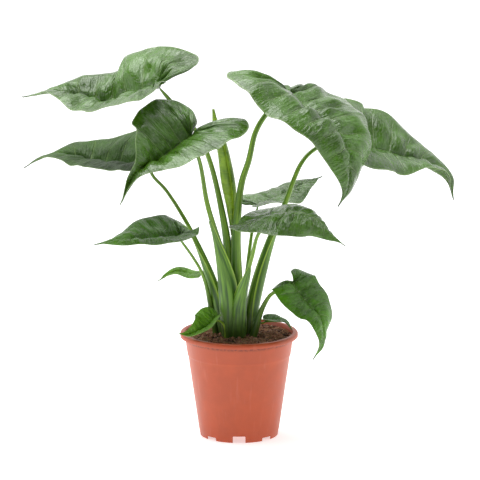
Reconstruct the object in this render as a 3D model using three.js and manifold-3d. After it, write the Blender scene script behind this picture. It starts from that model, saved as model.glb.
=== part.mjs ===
// A potted chinese taro: heart-shaped leaves on long sheathing stalks that rise
// in one clump from the peat of a terracotta-coloured plastic nursery pot.
// Millimetres, +Z up. The plant is drawn on the axis of its pot, with the pot
// standing on z = 0, and the finished group is then moved sideways so that the
// middle of its bounding box lies on the origin.
import * as THREE from "three";
import { mergeVertices } from "three/addons/utils/BufferGeometryUtils.js";
import Module from "manifold-3d";

const wasm = await Module();
wasm.setup();

// The clear distance kept between pieces that would otherwise touch.
const GAP = 0.3;
const MERGE_DISTANCE = 1e-4;

// Pot: a 17 cm nursery pot with a rolled rim and a notched foot.
const POT_HEIGHT = 152;
const POT_RIM_RADIUS = 85;
const POT_FOOT_RADIUS = 56.5;
const POT_TAPER = 0.145;
const POT_WALL = 1.8;
const POT_LIP_DROP = 7;
const POT_LIP_WALL = 2;
const POT_SHOULDER_HEIGHT = 118;
const POT_SHOULDER_STEP = 0.7;
const POT_SHOULDER_RISE = 1;
const POT_FLOOR_HEIGHT = 11;
const POT_FLOOR_THICKNESS = 2;
const POT_SIDES = 48;
const NOTCHES = 8;
const NOTCH_WIDTH = 18;
const NOTCH_HIGH = 10;
const NOTCH_LOW = 5;
const DRAIN_RADIUS = 5;
const DRAIN_CIRCLE = 40;
const DRAIN_SIDES = 12;
const CUTTER_LENGTH = 20;

// Peat, a little below the rim and uneven on top.
const SOIL_HEIGHT = 146;
const SOIL_LUMP = 1.6;
const SOIL_SIDES = 32;
const SOIL_RINGS = 7;
const SOIL_EDGE_LUMP = 0.5;

// Every blade is thick along its midrib and thin at its margin.
const BLADE_EDGE = 0.9;
const BLADE_RIB = 2.6;
const FAN_VEINS = 4;
const SIDE_VEINS = 8;
const VEIN_STEPS = 4;
const VEIN_ROOT_SPAN = 8.4;
const MARGIN_CROWDING = 0.92;
const MARGIN_WAVES = 21;
const FULL_RELIEF_WIDTH = 0.5;
const STALK_SIDES = 10;
const STALK_STEPS = 16;
const STALK_TAPER = 1.3;
const SHEATH_START = 0.4;
const SHEATH_SPAN = 0.75;
const CORNER_RADIUS = 3.4;

// Outline of half a blade, as shares of its length, lobe and half width, from
// the stalk round the back lobe and along the margin to the drawn-out tip.
const HALF_OUTLINE = [
  [0, 0],
  [-0.38, 0.08],
  [-0.8, 0.19],
  [-1, 0.46],
  [-0.81, 0.79],
  [-0.18, 0.99],
  [0.16, 1],
  [0.34, 0.9],
  [0.52, 0.69],
  [0.7, 0.43],
  [0.84, 0.2],
  [0.92, 0.06],
  [1, 0],
];
const SINUS_END = 0.18;

// Where along a blade its fold is given: at the end of the back lobe, at the
// stalk, and at three places towards the tip.
const FOLD_AT = [-1, 0, 0.34, 0.68, 1];

// Each leaf: the line of its midrib from the stalk to the tip, the way its
// upper side looks at the stalk and at the tip, the half width, back lobe and
// swell of its left and right half, how steeply each half stands at the places
// in FOLD_AT in degrees, the wave of its margin, and its stalk from the blade
// down into the peat with the radius at either end. Left and right are seen
// from the stalk, looking along the midrib with the upper side up.
const LEAVES = [
  {
    name: "top_right",
    midrib: [
      [70, 20, 495], [95, -2, 481], [123, -26, 465], [146, -46, 444],
      [155, -60, 421], [154, -74, 379], [140, -80, 352],
    ],
    face: [0.4, -0.3, 0.85],
    faceTip: [0.3, -0.8, 0.5],
    half: [94, 92],
    lobe: [36, 74],
    swell: [6, 12],
    foldLeft: [-14, -6, -6, -30, -60],
    foldRight: [2, 10, 10, 12, 50],
    wave: 3,
    stalk: [
      [70, 20, 495], [42, 16, 471], [24, 12, 443], [14, 8, 402],
      [3, 5, 366], [-4, 0, 286], [-3, 0, 213], [-2, 0, 128],
    ],
    radius: [3.4, 8],
    sheath: 2,
  },
  {
    name: "top_left",
    midrib: [
      [-114, -5, 511], [-148, 8, 498], [-181, 22, 484], [-212, 36, 483],
      [-239, 48, 487], [-270, 60, 491], [-313, 75, 481],
    ],
    face: [0, -0.35, 0.94],
    faceTip: [0, -0.35, 0.94],
    half: [85, 83],
    lobe: [24, 54],
    swell: [5, 8],
    foldLeft: [28, 18, 20, 22, 25],
    foldRight: [2, 14, 22, 10, -60],
    wave: 4,
    stalk: [
      [-114, -5, 511], [-90, 8, 479], [-59, 14, 439], [-42, 16, 399],
      [-25, 12, 328], [-16, 8, 271], [-12, 5, 198], [-11, 5, 128],
    ],
    radius: [2.6, 6.5],
    sheath: 2,
  },
  {
    name: "front_right",
    midrib: [
      [42, -75, 335], [51, -82, 341], [69, -97, 349], [86, -108, 351],
      [111, -124, 343], [132, -134, 324], [150, -140, 309],
    ],
    face: [0, -0.3, 0.95],
    faceTip: [0, -0.3, 0.95],
    half: [58, 54],
    lobe: [72, 48],
    swell: [4, 4],
    foldLeft: [15, -4, -28, -52, -70],
    foldRight: [35, 8, -24, -40, -30],
    wave: 3,
    stalk: [
      [40, -74, 331], [27, -62, 308], [19, -50, 276], [11, -38, 244],
      [1, -23, 199], [-2, -13, 128],
    ],
    radius: [2.2, 6],
    sheath: 5,
  },
  {
    name: "far_right",
    midrib: [
      [154, 50, 427], [184, 62, 409], [207, 72, 403], [246, 88, 386],
      [278, 98, 371], [302, 102, 353], [312, 100, 323],
    ],
    face: [-0.1, -0.4, 0.85],
    faceTip: [0.1, -0.4, 0.85],
    half: [78, 74],
    lobe: [34, 36],
    swell: [5, 5],
    foldLeft: [10, 14, 20, 10, -10],
    foldRight: [5, 10, 5, 38, 60],
    wave: 4,
    stalk: [
      [154, 50, 427], [128, 60, 417], [105, 56, 405], [89, 44, 389],
      [66, 28, 334], [45, 20, 282], [24, 12, 210], [9, 5, 128],
    ],
    radius: [2.6, 6.5],
    sheath: 4,
  },
  {
    name: "front_left",
    midrib: [
      [-68, -50, 448], [-83, -62, 440], [-101, -80, 430], [-113, -93, 422],
      [-128, -105, 413], [-151, -120, 394], [-168, -130, 365],
    ],
    face: [-0.1, -0.85, 0.5],
    faceTip: [-0.1, -0.85, 0.5],
    half: [78, 75],
    lobe: [70, 30],
    swell: [8, 6],
    foldLeft: [30, 45, 38, 64, 80],
    foldRight: [0, 0, 15, 75, 85],
    wave: 3,
    stalk: [
      [-68, -50, 448], [-56, -40, 409], [-46, -30, 349], [-33, -22, 299],
      [-18, -14, 230], [-11, -9, 128],
    ],
    radius: [2.6, 6.5],
    sheath: 8,
  },
  {
    name: "back_right",
    midrib: [[27, 64, 324], [59, 98, 331], [93, 130, 341], [122, 154, 348]],
    face: [-0.1, -0.3, 0.9],
    faceTip: [-0.1, -0.3, 0.9],
    half: [48, 48],
    lobe: [26, 26],
    swell: [3, 3],
    foldLeft: [30, -8, -10, -5, -20],
    foldRight: [35, 18, 6, 0, 0],
    wave: 3,
    stalk: [[27, 64, 324], [19, 52, 289], [12, 34, 235], [6, 18, 179], [4, 13, 128]],
    radius: [2, 5],
    sheath: 1,
  },
  {
    name: "far_left",
    midrib: [
      [-132, 30, 395], [-149, 42, 389], [-191, 70, 383], [-233, 96, 386],
      [-262, 110, 388], [-289, 120, 383], [-314, 124, 366],
    ],
    face: [0, -0.3, 0.95],
    faceTip: [0, -0.3, 0.95],
    half: [66, 72],
    lobe: [40, 40],
    swell: [4, 4],
    foldLeft: [10, 15, 22, 22, 10],
    foldRight: [20, 22, 21, 6, -60],
    wave: 3,
    stalk: [
      [-132, 30, 395], [-124, 32, 374], [-105, 30, 353], [-71, 22, 299],
      [-47, 14, 246], [-27, 6, 182], [-17, 3, 128],
    ],
    radius: [2.2, 5],
    sheath: 4.5,
  },
  {
    name: "low_right",
    midrib: [
      [77, -45, 234], [86, -54, 220], [101, -66, 205], [114, -76, 193],
      [119, -83, 179], [118, -88, 154], [105, -88, 130],
    ],
    face: [0.2, -0.9, 0.5],
    faceTip: [0.2, -0.9, 0.5],
    half: [40, 38],
    lobe: [22, 10],
    swell: [3, 3],
    foldLeft: [-40, -15, -20, -60, -70],
    foldRight: [-30, 20, 25, 40, 80],
    wave: 2,
    stalk: [
      [77, -42, 234], [64, -36, 231], [54, -30, 219], [44, -24, 210],
      [31, -15, 184], [26, -12, 167], [15, -9, 128],
    ],
    radius: [2, 5.5],
    sheath: 1,
  },
  {
    name: "low_left",
    midrib: [
      [-84, -25, 295], [-106, -38, 297], [-141, -58, 301], [-172, -74, 303],
      [-206, -85, 299],
    ],
    face: [0, -0.3, 0.95],
    faceTip: [0, -0.3, 0.95],
    half: [50, 54],
    lobe: [12, 28],
    swell: [3, 3],
    foldLeft: [50, 32, 20, 5, 15],
    foldRight: [0, 14, 5, -16, -20],
    wave: 2,
    stalk: [
      [-84, -25, 292], [-70, -18, 271], [-56, -10, 246], [-49, -5, 227],
      [-44, 0, 205], [-40, 5, 182], [-30, 9, 128],
    ],
    radius: [1.8, 4],
    sheath: 1,
  },
  {
    name: "small_left",
    midrib: [[-52, 50, 227], [-68, 60, 223], [-89, 72, 223], [-106, 80, 216], [-118, 84, 207]],
    face: [0, -0.5, 0.8],
    faceTip: [0, -0.5, 0.8],
    half: [14, 14],
    lobe: [3, 3],
    swell: [1, 1],
    foldLeft: [15, 15, 12, 28, 15],
    foldRight: [-30, -30, -20, 40, 5],
    wave: 1,
    stalk: [[-51, 48, 224], [-46, 40, 214], [-41, 30, 193], [-33, 20, 162], [-28, 17, 128]],
    radius: [1.4, 2.4],
    sheath: 0,
  },
  {
    name: "rim_left",
    midrib: [[-34, -26, 174], [-47, -38, 164], [-60, -46, 160], [-73, -50, 159], [-86, -50, 161]],
    face: [-0.1, -0.8, 0.5],
    faceTip: [-0.1, -0.8, 0.5],
    half: [24, 28],
    lobe: [6, 14],
    swell: [2, 2],
    foldLeft: [70, 70, 70, 55, 30],
    foldRight: [0, 0, 12, 10, 10],
    wave: 1,
    stalk: [[-34, -26, 174], [-29, -24, 173], [-23, -21, 168], [-20, -19, 159], [-20, -17, 128]],
    radius: [1.5, 2.2],
    sheath: 0,
  },
  {
    name: "rim_right",
    midrib: [[39, -2, 168], [53, -5, 169], [66, -8, 169], [73, -10, 163], [77, -12, 157]],
    face: [0, -0.5, 0.8],
    faceTip: [0.3, -0.5, 0.6],
    half: [16, 16],
    lobe: [6, 4],
    swell: [1, 1],
    foldLeft: [8, -6, -15, -32, -50],
    foldRight: [60, 48, 45, 40, 30],
    wave: 1,
    stalk: [[39, -2, 168], [27, 4, 160], [22, 7, 149], [20, 8, 128]],
    radius: [1.2, 2],
    sheath: 0,
  },
];

// The youngest leaf is still rolled up: a trough that is open towards the
// front left, given by its axis, its girth along it and the angles between
// which its wall runs, measured from +X towards +Y.
const ROLLED = {
  name: "rolled",
  axis: [
    [-9, 12, 291], [-12, 16, 334], [-17, 18, 371], [-24, 18, 415],
    [-34, 16, 454], [-37, 14, 475],
  ],
  girth: [3.4, 8, 11.5, 10, 7.5, 2],
  from: 190,
  to: -65,
  wall: 1.5,
  stalk: [[-9, 12, 290], [-6, 9, 230], [-5, 8, 128]],
  radius: [3, 4.5],
  sheath: 0,
};
const ROLLED_STEPS = 14;
const ROLLED_SIDES = 12;
const ROLLED_WALL_SHARE = 0.6;

const radians = THREE.MathUtils.degToRad;
const lerp = THREE.MathUtils.lerp;
const clamp = THREE.MathUtils.clamp;
const vector = (p) => new THREE.Vector3(...p);

function curveThrough(points) {
  return new THREE.CatmullRomCurve3(points.map(vector), false, "centripetal");
}

// Solids from and back to three.js geometry.
function solid(geometry) {
  const bare = geometry.clone();
  for (const name of Object.keys(bare.attributes)) {
    if (name !== "position") bare.deleteAttribute(name);
  }
  const merged = mergeVertices(bare, MERGE_DISTANCE);
  return new wasm.Manifold(
    new wasm.Mesh({
      numProp: 3,
      vertProperties: new Float32Array(merged.attributes.position.array),
      triVerts: new Uint32Array(merged.index.array),
    }),
  );
}

function geometryOf(body) {
  const mesh = body.getMesh();
  const geometry = new THREE.BufferGeometry();
  geometry.setAttribute("position", new THREE.BufferAttribute(mesh.vertProperties, 3));
  geometry.setIndex(new THREE.BufferAttribute(mesh.triVerts, 1));
  geometry.computeVertexNormals();
  return geometry;
}

function indexed(points, faces) {
  const geometry = new THREE.BufferGeometry();
  const numbers = points.flatMap((p) => p.toArray());
  geometry.setAttribute("position", new THREE.Float32BufferAttribute(numbers, 3));
  geometry.setIndex(faces.flat());
  return geometry;
}

// A cut can leave slivers beside the body, which are dropped.
function largestPiece(body) {
  return body.decompose().reduce((a, b) => (b.volume() > a.volume() ? b : a));
}

const outlineCurve = new THREE.SplineCurve(HALF_OUTLINE.map((p) => new THREE.Vector2(...p)));

// A point of the flat half outline, t from 0 at the stalk to 1 at the tip.
function outlinePoint(leaf, half, length, t) {
  const p = outlineCurve.getPoint(t);
  return [p.x * (p.x < 0 ? leaf.lobe[half] : length), Math.max(0, p.y) * leaf.half[half]];
}

function foldAt(folds, place) {
  const last = FOLD_AT.length - 1;
  if (place >= 1) return folds[last];
  const i = clamp(FOLD_AT.findIndex((at) => at > place) - 1, 0, last - 1);
  const share = (place - FOLD_AT[i]) / (FOLD_AT[i + 1] - FOLD_AT[i]);
  return lerp(folds[i], folds[i + 1], clamp(share, 0, 1));
}

// How far the blade rises over its flat half at share v of the way from the
// midrib to the margin. Where it is narrow, towards the tip, it lies flatter.
function riseAt(leaf, half, v, t) {
  const broad = clamp(outlineCurve.getPoint(t).y / FULL_RELIEF_WIDTH, 0, 1);
  const swell = leaf.swell[half] * 4 * v * (1 - v);
  const ripple = Math.sin(t * MARGIN_WAVES + half + leaf.half[0]);
  return broad * (swell + leaf.wave * v ** 2 * ripple);
}

// Where a flat point of one half (x along the midrib, y to the side, v its
// share of the way from the midrib to the margin) lies on the bent blade.
function bladePoint(leaf, midrib, length, x, y, v, half, t) {
  const u = clamp(x / length, 0, 1);
  const along = midrib.getTangentAt(u);
  const face = vector(leaf.face).lerp(vector(leaf.faceTip), u);
  const left = face.cross(along).normalize();
  const up = along.clone().cross(left);
  const foot = midrib.getPointAt(u);
  if (x < 0) foot.addScaledVector(along, x);
  const place = x < 0 ? x / leaf.lobe[half] : u;
  const fold = radians(foldAt(half === 0 ? leaf.foldLeft : leaf.foldRight, place));
  const outward = left.multiplyScalar(half === 0 ? 1 : -1);
  const rise = riseAt(leaf, half, v, t);
  foot.addScaledVector(outward, y * Math.cos(fold) - rise * Math.sin(fold));
  return foot.addScaledVector(up, y * Math.sin(fold) + rise * Math.cos(fold));
}

// The blade as a thin solid whose two faces share one net of vein lines.
function bladeSolid(leaf, pad) {
  const midrib = curveThrough(leaf.midrib);
  const length = midrib.getLength();
  const veins = FAN_VEINS + SIDE_VEINS;
  const tops = [];
  const shares = [];
  const faces = [];
  const rims = [];
  const add = (point, share) => {
    tops.push(point);
    shares.push(share);
    return tops.length - 1;
  };
  const root = (i) => Math.max(0, i - FAN_VEINS + 1) / VEIN_ROOT_SPAN;
  const feet = [];
  for (let i = 0; i < veins; i++) {
    feet.push(i > 0 && root(i) === 0 ? feet[0] : add(midrib.getPointAt(root(i)), 0));
  }
  const tip = add(midrib.getPointAt(1), 1);
  for (const half of [0, 1]) {
    const rows = [];
    for (let i = 0; i < veins; i++) {
      const t = SINUS_END + (1 - SINUS_END) * (i / veins) ** MARGIN_CROWDING;
      const [endX, endY] = outlinePoint(leaf, half, length, t);
      const row = [feet[i]];
      for (let j = 1; j <= VEIN_STEPS; j++) {
        const v = j / VEIN_STEPS;
        const straight = [lerp(root(i) * length, endX, v), endY * v];
        const [x, y] = i === 0 ? outlinePoint(leaf, half, length, t * v) : straight;
        row.push(add(bladePoint(leaf, midrib, length, x, y, v, half, t), v));
      }
      rows.push(row);
    }
    const face = (a, b, c) => faces.push(half === 0 ? [a, b, c] : [a, c, b]);
    for (let i = 0; i + 1 < veins; i++) {
      for (let j = 0; j < VEIN_STEPS; j++) {
        const [a, d] = rows[i].slice(j, j + 2);
        const [b, c] = rows[i + 1].slice(j, j + 2);
        if (a !== b) face(a, b, c);
        face(a, c, d);
      }
    }
    const last = rows[veins - 1];
    for (let j = 0; j < VEIN_STEPS; j++) face(last[j], tip, last[j + 1]);
    rims.push([...rows[0].slice(0, -1), ...rows.map((row) => row[VEIN_STEPS]), tip]);
  }
  const skin = indexed(tops, faces);
  skin.computeVertexNormals();
  const normals = skin.getAttribute("normal");
  const normal = (i) => new THREE.Vector3().fromBufferAttribute(normals, i);
  const depth = (i) => BLADE_EDGE + (BLADE_RIB - BLADE_EDGE) * (1 - shares[i]) ** 3;
  const upper = tops.map((point, i) => point.clone().addScaledVector(normal(i), pad));
  const lower = tops.map((point, i) => point.clone().addScaledVector(normal(i), -depth(i) - pad));
  const rim = [...rims[0], ...rims[1].slice(1, -1).reverse()];
  const around = (i) => tops[rim[(i + rim.length) % rim.length]];
  rim.forEach((a, i) => {
    const along = around(i + 1).clone().sub(around(i - 1));
    const outward = normal(a).cross(along).normalize();
    upper[a].addScaledVector(outward, pad);
    lower[a].addScaledVector(outward, pad);
  });
  const count = tops.length;
  const all = [...faces, ...faces.map(([a, b, c]) => [a + count, c + count, b + count])];
  rim.forEach((a, i) => {
    const b = rim[(i + 1) % rim.length];
    all.push([a, b, b + count], [a, b + count, a + count]);
  });
  return solid(indexed([...upper, ...lower], all));
}

// The lobes meet in a sharp corner over the stalk, which a ball keeps free.
function cornerBall(leaf) {
  const along = curveThrough(leaf.midrib).getTangentAt(0);
  const left = vector(leaf.face).cross(along).normalize();
  const middle = vector(leaf.midrib[0]).addScaledVector(along.cross(left), -BLADE_RIB / 2);
  const ball = new THREE.IcosahedronGeometry(CORNER_RADIUS, 1);
  return solid(ball.translate(middle.x, middle.y, middle.z));
}

// A stack of rings, each a closed loop of as many points, with flat ends.
function loft(rings) {
  const sides = rings[0].length;
  const points = rings.flat();
  const faces = [];
  for (let i = 0; i + 1 < rings.length; i++) {
    for (let k = 0; k < sides; k++) {
      const a = i * sides + k;
      const b = i * sides + ((k + 1) % sides);
      faces.push([a, b, b + sides], [a, b + sides, a + sides]);
    }
  }
  return { points, faces, sides };
}

function ringAt(curve, frames, i, steps, radius, sides) {
  const centre = curve.getPointAt(i / steps);
  const ring = [];
  for (let k = 0; k < sides; k++) {
    const angle = (2 * Math.PI * k) / sides;
    const point = centre.clone().addScaledVector(frames.normals[i], radius * Math.cos(angle));
    ring.push(point.addScaledVector(frames.binormals[i], radius * Math.sin(angle)));
  }
  return ring;
}

// A stalk: a tapering round tube along its line, wider where its sheath wraps
// the younger ones.
function stalkSolid({ stalk, radius: [top, foot], sheath }, pad) {
  const curve = curveThrough(stalk);
  const frames = curve.computeFrenetFrames(STALK_STEPS, false);
  const rings = [];
  for (let i = 0; i <= STALK_STEPS; i++) {
    const u = i / STALK_STEPS;
    const wrap = Math.sin(Math.PI * Math.max(0, (u - SHEATH_START) / SHEATH_SPAN)) ** 2;
    const radius = pad + lerp(top, foot, u ** STALK_TAPER) + sheath * wrap;
    rings.push(ringAt(curve, frames, i, STALK_STEPS, radius, STALK_SIDES));
  }
  const { points, faces, sides } = loft(rings);
  const end = points.length - sides;
  for (let k = 1; k + 1 < sides; k++) {
    faces.push([0, k + 1, k], [end, end + k, end + k + 1]);
  }
  return solid(indexed(points, faces));
}

// The rolled leaf: rings that are bent strips, closed at both ends.
function rolledSolid(leaf) {
  const axis = curveThrough(leaf.axis);
  const girth = new THREE.SplineCurve(leaf.girth.map((r, i) => new THREE.Vector2(i, r)));
  const rings = [];
  for (let i = 0; i <= ROLLED_STEPS; i++) {
    const centre = axis.getPointAt(i / ROLLED_STEPS);
    const radius = girth.getPoint(i / ROLLED_STEPS).y;
    const wall = Math.min(leaf.wall, radius * ROLLED_WALL_SHARE);
    const outer = [];
    const inner = [];
    for (let k = 0; k <= ROLLED_SIDES; k++) {
      const angle = radians(lerp(leaf.to, leaf.from, k / ROLLED_SIDES));
      const way = new THREE.Vector3(Math.cos(angle), Math.sin(angle), 0);
      outer.push(centre.clone().addScaledVector(way, radius));
      inner.push(centre.clone().addScaledVector(way, radius - wall));
    }
    rings.push([...outer, ...inner.reverse()]);
  }
  const { points, faces, sides } = loft(rings);
  const end = points.length - sides;
  for (let k = 0; k < ROLLED_SIDES; k++) {
    const b = k + 1;
    const c = sides - 2 - k;
    const d = sides - 1 - k;
    faces.push([k, c, b], [k, d, c]);
    faces.push([end + k, end + b, end + c], [end + k, end + c, end + d]);
  }
  return solid(indexed(points, faces));
}

function wallRadius(z) {
  const shoulder = z > POT_SHOULDER_HEIGHT ? POT_SHOULDER_STEP : 0;
  return POT_FOOT_RADIUS + POT_TAPER * z + shoulder;
}

function lathe(profile, sides) {
  const points = profile.map((p) => new THREE.Vector2(...p));
  return solid(new THREE.LatheGeometry(points, sides).rotateX(Math.PI / 2));
}

// The pot: one lathe-turned wall, floor and rolled rim, with notches in the
// foot, high and low in turn, and drain holes in the floor.
function potSolid() {
  const top = POT_HEIGHT;
  const floorTop = POT_FLOOR_HEIGHT + POT_FLOOR_THICKNESS;
  const under = top - POT_LIP_DROP;
  const lip = POT_RIM_RADIUS - POT_LIP_WALL;
  const step = POT_SHOULDER_HEIGHT;
  const above = step + POT_SHOULDER_RISE;
  const inside = (z) => wallRadius(z) - POT_WALL;
  const profile = [
    [0, POT_FLOOR_HEIGHT],
    [inside(POT_FLOOR_HEIGHT), POT_FLOOR_HEIGHT],
    [inside(0), 0],
    [wallRadius(0), 0],
    [wallRadius(step), step],
    [wallRadius(above), above],
    [wallRadius(top - POT_LIP_WALL), top - POT_LIP_WALL],
    [lip, top - POT_LIP_WALL - 0.6],
    [lip + 0.2, under],
    [POT_RIM_RADIUS - 0.3, under],
    [POT_RIM_RADIUS, under + 3],
    [POT_RIM_RADIUS - 0.6, top - 1.4],
    [POT_RIM_RADIUS - 2.4, top],
    [inside(top) + 0.6, top],
    [inside(top), top - 0.8],
    [inside(above), above],
    [inside(step), step],
    [inside(floorTop), floorTop],
    [0, floorTop],
  ];
  let body = lathe(profile, POT_SIDES);
  for (let i = 0; i < NOTCHES; i++) {
    const turn = (2 * Math.PI * i) / NOTCHES - Math.PI / 2;
    const height = i % 2 === 0 ? NOTCH_HIGH : NOTCH_LOW;
    const notch = new THREE.BoxGeometry(CUTTER_LENGTH, NOTCH_WIDTH, 2 * height);
    notch.translate(POT_FOOT_RADIUS, 0, 0).rotateZ(turn);
    body = body.subtract(solid(notch));
    const size = [DRAIN_RADIUS, DRAIN_RADIUS, CUTTER_LENGTH, DRAIN_SIDES];
    const drain = new THREE.CylinderGeometry(...size).rotateX(Math.PI / 2);
    drain.translate(DRAIN_CIRCLE, 0, POT_FLOOR_HEIGHT).rotateZ(turn);
    body = body.subtract(solid(drain));
  }
  return body;
}

// How much the peat is raised or sunk at a place: a sum of two waves.
function lump(x, y) {
  const broad = Math.sin(x / 9 + 1) * Math.cos(y / 8);
  const fine = 0.6 * Math.sin(x / 4.3 - y / 5.1);
  return SOIL_LUMP * (broad + fine);
}

// The peat fills the pot down to its floor.
function soilSolid() {
  const bottom = POT_FLOOR_HEIGHT + POT_FLOOR_THICKNESS + GAP;
  const side = (z) => (wallRadius(z) - POT_WALL - 2 * GAP) * Math.cos(Math.PI / POT_SIDES);
  const ringOf = (radius, height) => {
    const ring = [];
    for (let k = 0; k < SOIL_SIDES; k++) {
      const angle = (2 * Math.PI * k) / SOIL_SIDES;
      const x = radius * Math.cos(angle);
      const y = radius * Math.sin(angle);
      ring.push(new THREE.Vector3(x, y, height(x, y)));
    }
    return ring;
  };
  const below = POT_SHOULDER_HEIGHT - POT_SHOULDER_RISE;
  const above = POT_SHOULDER_HEIGHT + 2 * POT_SHOULDER_RISE;
  const walls = [bottom, below, above];
  const rings = walls.map((z) => ringOf(side(z), () => z));
  const edge = (x, y) => SOIL_HEIGHT + SOIL_EDGE_LUMP * lump(x, y);
  rings.push(ringOf(side(SOIL_HEIGHT), edge));
  for (let j = SOIL_RINGS - 1; j >= 1; j--) {
    const radius = (side(SOIL_HEIGHT) * j) / SOIL_RINGS;
    rings.push(ringOf(radius, (x, y) => SOIL_HEIGHT + lump(x, y)));
  }
  const { points, faces } = loft(rings);
  const low = points.length;
  const high = low + 1;
  const last = low - SOIL_SIDES;
  points.push(new THREE.Vector3(0, 0, bottom));
  points.push(new THREE.Vector3(0, 0, SOIL_HEIGHT + lump(0, 0)));
  for (let k = 0; k < SOIL_SIDES; k++) {
    const next = (k + 1) % SOIL_SIDES;
    faces.push([low, next, k], [high, last + k, last + next]);
  }
  return solid(indexed(points, faces));
}

const blades = LEAVES.map((leaf) => bladeSolid(leaf, 0));
const rolled = rolledSolid(ROLLED);

// A younger stalk stands inside the older ones, whose sheaths wrap round it:
// every stalk is cut by those before it in the list, and by its own blade.
const lines = [...LEAVES, ROLLED];
const padded = lines.map((leaf) => stalkSolid(leaf, GAP));
const stalks = lines.map((leaf, i) => {
  let body = stalkSolid(leaf, 0);
  for (let k = 0; k < i; k++) body = body.subtract(padded[k]);
  if (leaf !== ROLLED) {
    body = body.subtract(bladeSolid(leaf, GAP));
    body = body.subtract(cornerBall(leaf));
  }
  return largestPiece(body);
});
const soil = padded.reduce((body, stalk) => body.subtract(stalk), soilSolid());

const part = new THREE.Group();
function addMesh(name, body, color, roughness) {
  const material = new THREE.MeshStandardMaterial({ color, roughness, metalness: 0 });
  const mesh = new THREE.Mesh(geometryOf(body), material);
  mesh.name = name;
  part.add(mesh);
}
addMesh("pot", potSolid(), 0xbe6148, 0.5);
addMesh("soil", largestPiece(soil), 0x4a3a2e, 0.95);
LEAVES.forEach((leaf, i) => {
  addMesh("leaf_" + leaf.name, blades[i], 0x3f6a2c, 0.35);
  addMesh("stalk_" + leaf.name, stalks[i], 0x6a8440, 0.5);
});
addMesh("leaf_" + ROLLED.name, rolled, 0x8fa65e, 0.4);
addMesh("stalk_" + ROLLED.name, stalks[LEAVES.length], 0x6a8440, 0.5);

// The part's frame has its origin under the middle of the whole plant, so the
// pot stands a little beside it.
const middle = new THREE.Box3().setFromObject(part).getCenter(new THREE.Vector3());
part.position.set(-middle.x, -middle.y, 0);

export default part;
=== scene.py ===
"""A potted chinese taro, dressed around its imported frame: pot, peat, stalks and leaves."""

import math
import random
from contextlib import contextmanager

import bpy
import numpy as np
from mathutils import Euler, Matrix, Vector, noise


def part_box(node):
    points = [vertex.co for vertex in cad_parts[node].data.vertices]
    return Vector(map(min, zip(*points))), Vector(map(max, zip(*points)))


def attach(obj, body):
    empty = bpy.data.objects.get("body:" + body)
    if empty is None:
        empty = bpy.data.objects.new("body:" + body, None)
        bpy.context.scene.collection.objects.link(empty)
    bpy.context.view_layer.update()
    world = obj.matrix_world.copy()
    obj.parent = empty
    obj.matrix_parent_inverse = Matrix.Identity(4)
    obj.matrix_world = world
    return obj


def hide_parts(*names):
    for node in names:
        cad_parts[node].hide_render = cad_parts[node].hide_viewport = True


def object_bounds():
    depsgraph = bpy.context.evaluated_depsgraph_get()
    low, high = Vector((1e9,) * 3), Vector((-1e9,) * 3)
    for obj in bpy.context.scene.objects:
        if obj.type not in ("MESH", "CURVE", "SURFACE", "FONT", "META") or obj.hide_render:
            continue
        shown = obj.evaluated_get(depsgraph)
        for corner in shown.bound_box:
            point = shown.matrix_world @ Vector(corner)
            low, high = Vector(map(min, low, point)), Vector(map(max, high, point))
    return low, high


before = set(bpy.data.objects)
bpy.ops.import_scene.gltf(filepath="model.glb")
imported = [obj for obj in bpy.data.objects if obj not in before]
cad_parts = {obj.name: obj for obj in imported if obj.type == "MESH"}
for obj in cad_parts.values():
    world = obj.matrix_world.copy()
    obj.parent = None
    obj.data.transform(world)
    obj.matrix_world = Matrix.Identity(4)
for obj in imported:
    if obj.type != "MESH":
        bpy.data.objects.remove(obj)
CAD_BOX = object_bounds()

bl_info = {
    "name": "Potted Chinese Taro",
    "version": (1, 0, 0),
    "blender": (4, 5, 0),
    "location": "3D View > Sidebar > Taro",
    "description": "Models a leafy plant in a nursery pot piece by piece",
    "category": "Add Mesh",
}

# Lengths in the tables are millimetres from the pot's axis, as in the part.
MM = 0.001
POT_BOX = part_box("pot")
AXIS_X = (POT_BOX[0][0] + POT_BOX[1][0]) / 2
AXIS_Y = (POT_BOX[0][1] + POT_BOX[1][1]) / 2
SEED = 7
INSIDE = 0.0002  # how far inside the part's box every piece stays

POT_HEIGHT = 152
POT_RIM_RADIUS = 85
POT_FOOT_RADIUS = 56.5
POT_TAPER = 0.145
POT_WALL = 1.8
POT_LIP_DROP = 7
POT_LIP_WALL = 2
POT_SHOULDER_HEIGHT = 118
POT_SHOULDER_STEP = 0.7
POT_FLOOR_HEIGHT = 11
POT_FLOOR_THICKNESS = 2
NOTCHES = 8
NOTCH_WIDTH = 18
NOTCH_HIGH = 10
NOTCH_LOW = 5
NOTCH_CUT = 14  # how far a notch's cutter reaches through the wall
NOTCH_ROUNDING = 1.2
DRAIN_RADIUS = 5
DRAIN_CIRCLE = 40
DRAIN_CUT = 10
DRAIN_SIDES = 32
SOIL_HEIGHT = 146
SOIL_GAP = 0.6
SOIL_DEPTH = 24
SOIL_TAPER = 0.94
SOIL_SETTLED = 0.6  # share of the lumps' height lost at the pot's wall
SOIL_LUMPS = ((3.6, 17), (4.0, 7.1), (2.8, 2.9), (1.4, 1.5))  # height, size
CRUMBS = 620
FIBRES = 150

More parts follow.
